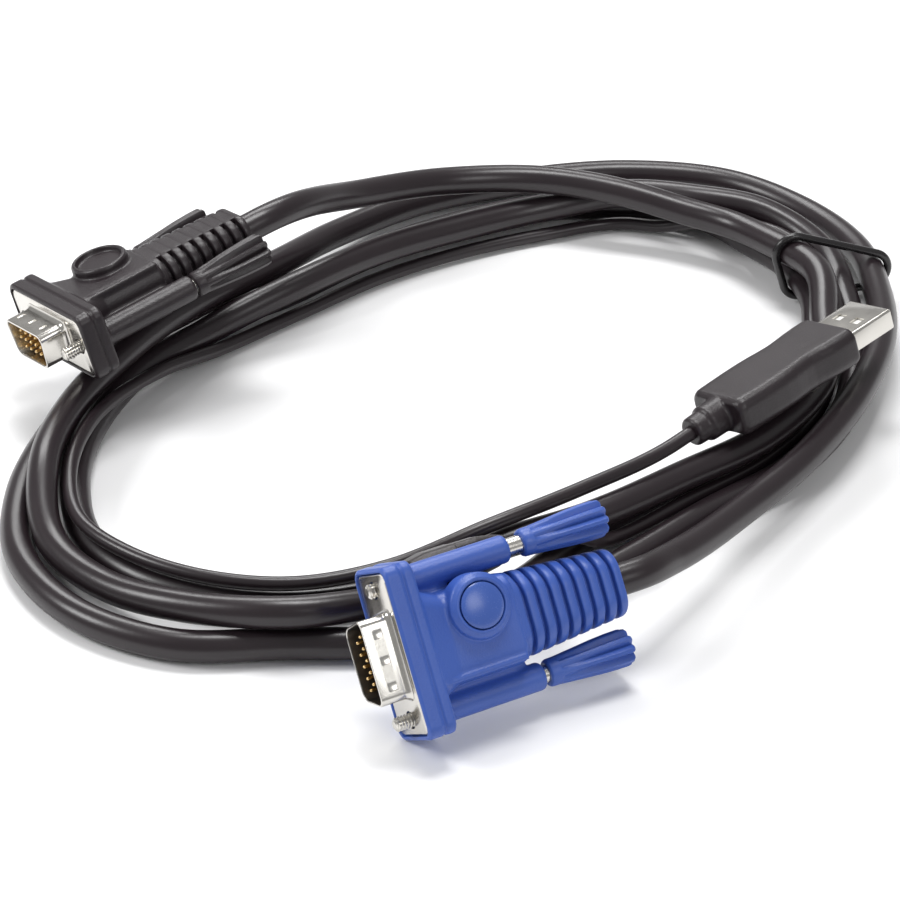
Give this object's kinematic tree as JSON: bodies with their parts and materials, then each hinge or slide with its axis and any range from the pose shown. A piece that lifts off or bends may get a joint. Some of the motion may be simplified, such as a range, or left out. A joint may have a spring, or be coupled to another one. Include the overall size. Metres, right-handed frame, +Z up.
{
  "type": "kvm cable",
  "caption": "Coiled and tied round cable between two 15-pin D plugs with thumbscrews, with a thin branch cord to a USB plug.",
  "frame": {"origin": "centre of the three plugs' footprint, on the surface the coil lies on", "axes": "+Z up; +X to the right as the picture shows it, from the black plug towards the USB plug; +Y away from the viewer"},
  "size_m": [0.1927, 0.2264, 0.0344],
  "materials": {
    "blue_plastic": "satin moulded, blue",
    "black_plastic": "satin moulded, black",
    "cable_skin": "smooth satin black jacket",
    "nickel": "nickel plated steel",
    "gilt_brass": "gold plated",
    "dark_insulator": "dark moulded",
    "amber_insulator": "brown moulded",
    "white_insulator": "white moulded"
  },
  "bodies": {
    "cable": {"black_hood": "black_plastic", "black_connector_shell": "nickel", "black_insulator": "amber_insulator", "black_pin_01": "gilt_brass", "black_pin_02": "gilt_brass", "black_pin_03": "gilt_brass", "black_pin_04": "gilt_brass", "black_pin_05": "gilt_brass", "black_pin_06": "gilt_brass", "black_pin_07": "gilt_brass", "black_pin_08": "gilt_brass", "black_pin_09": "gilt_brass", "black_pin_10": "gilt_brass", "black_pin_11": "gilt_brass", "black_pin_12": "gilt_brass", "black_pin_13": "gilt_brass", "black_pin_14": "gilt_brass", "black_pin_15": "gilt_brass", "blue_hood": "blue_plastic", "blue_connector_shell": "nickel", "blue_insulator": "dark_insulator", "blue_pin_01": "gilt_brass", "blue_pin_02": "gilt_brass", "blue_pin_03": "gilt_brass", "blue_pin_04": "gilt_brass", "blue_pin_05": "gilt_brass", "blue_pin_06": "gilt_brass", "blue_pin_07": "gilt_brass", "blue_pin_08": "gilt_brass", "blue_pin_09": "gilt_brass", "blue_pin_10": "gilt_brass", "blue_pin_11": "gilt_brass", "blue_pin_12": "gilt_brass", "blue_pin_13": "gilt_brass", "blue_pin_14": "gilt_brass", "blue_pin_15": "gilt_brass", "blue_badge_lens": "blue_plastic", "usb_cord_boot": "black_plastic", "usb_grip": "black_plastic", "usb_shell": "nickel", "usb_tongue": "white_insulator", "usb_contact_1": "gilt_brass", "usb_contact_2": "gilt_brass", "usb_contact_3": "gilt_brass", "usb_contact_4": "gilt_brass", "main_cable": "cable_skin", "usb_cord": "cable_skin", "cable_tie": "black_plastic"},
    "black_upper_thumbscrew": {"black_upper_screw": "nickel", "black_upper_knob": "black_plastic"},
    "black_lower_thumbscrew": {"black_lower_screw": "nickel", "black_lower_knob": "black_plastic"},
    "blue_upper_thumbscrew": {"blue_upper_screw": "nickel", "blue_upper_knob": "blue_plastic"},
    "blue_lower_thumbscrew": {"blue_lower_screw": "nickel", "blue_lower_knob": "blue_plastic"}
  },
  "joints": [
    {"name": "black_upper_thumbscrew_turn", "type": "hinge", "parent": "cable", "child": "black_upper_thumbscrew", "pos_m": [-0.06581, 0.06919, 0.02284], "axis": [0.8005, 0.5731, 0.1754], "continuous": true},
    {"name": "black_lower_thumbscrew_turn", "type": "hinge", "parent": "cable", "child": "black_lower_thumbscrew", "pos_m": [-0.05236, 0.04879, 0.02808], "axis": [0.8005, 0.5731, 0.1754], "continuous": true},
    {"name": "blue_upper_thumbscrew_turn", "type": "hinge", "parent": "cable", "child": "blue_upper_thumbscrew", "pos_m": [0.01236, -0.04793, 0.0275], "axis": [0.8704, 0.4924, 0], "continuous": true},
    {"name": "blue_lower_thumbscrew_turn", "type": "hinge", "parent": "cable", "child": "blue_lower_thumbscrew", "pos_m": [0.01926, -0.06012, 0.0068], "axis": [0.8704, 0.4924, 0], "continuous": true}
  ]
}
